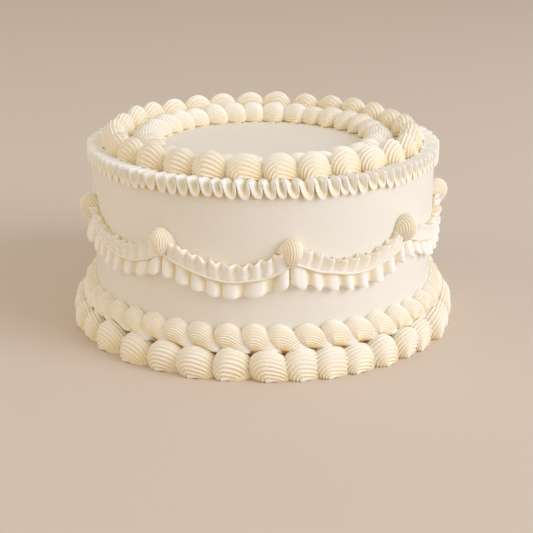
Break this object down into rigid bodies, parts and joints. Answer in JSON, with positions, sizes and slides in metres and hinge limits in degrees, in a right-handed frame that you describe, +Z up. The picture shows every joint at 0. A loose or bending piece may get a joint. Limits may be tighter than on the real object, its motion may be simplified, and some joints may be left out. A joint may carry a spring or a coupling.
{
  "type": "lambeth cake",
  "caption": "Round ivory celebration cake, iced smooth, with piped shell borders at the top and foot, a rim ruffle, and swags of double frills hung between drop shells.",
  "frame": {"origin": "centre of the cake's underside, on the surface it stands on", "axes": "+Z up along the cake's axis; -Y is the front shown in the picture and +X is to its right"},
  "size_m": [0.235, 0.235, 0.1181],
  "materials": {
    "smooth_icing": "smooth ivory icing with a soft satin sheen",
    "piped_icing": "soft ivory buttercream, finely ridged by the piping nozzle, warmer in its creases"
  },
  "bodies": {
    "root": {"cake_body": "smooth_icing", "top_outer_shells": "piped_icing", "top_inner_shells": "piped_icing", "rim_ruffle": "piped_icing", "base_lower_shells": "piped_icing", "base_upper_shells": "piped_icing", "swag_upper_frill_1": "piped_icing", "swag_upper_frill_2": "piped_icing", "swag_upper_frill_3": "piped_icing", "swag_upper_frill_4": "piped_icing", "swag_upper_frill_5": "piped_icing", "swag_upper_frill_6": "piped_icing", "swag_upper_frill_7": "piped_icing", "swag_upper_frill_8": "piped_icing", "swag_upper_frill_9": "piped_icing", "swag_lower_frill_1": "piped_icing", "swag_lower_frill_2": "piped_icing", "swag_lower_frill_3": "piped_icing", "swag_lower_frill_4": "piped_icing", "swag_lower_frill_5": "piped_icing", "swag_lower_frill_6": "piped_icing", "swag_lower_frill_7": "piped_icing", "swag_lower_frill_8": "piped_icing", "swag_lower_frill_9": "piped_icing", "swag_bead_1": "piped_icing", "swag_bead_2": "piped_icing", "swag_bead_3": "piped_icing", "swag_bead_4": "piped_icing", "swag_bead_5": "piped_icing", "swag_bead_6": "piped_icing", "swag_bead_7": "piped_icing", "swag_bead_8": "piped_icing", "swag_bead_9": "piped_icing", "swag_shell_1": "piped_icing", "swag_shell_2": "piped_icing", "swag_shell_3": "piped_icing", "swag_shell_4": "piped_icing", "swag_shell_5": "piped_icing", "swag_shell_6": "piped_icing", "swag_shell_7": "piped_icing", "swag_shell_8": "piped_icing", "swag_shell_9": "piped_icing"}
  },
  "joints": []
}
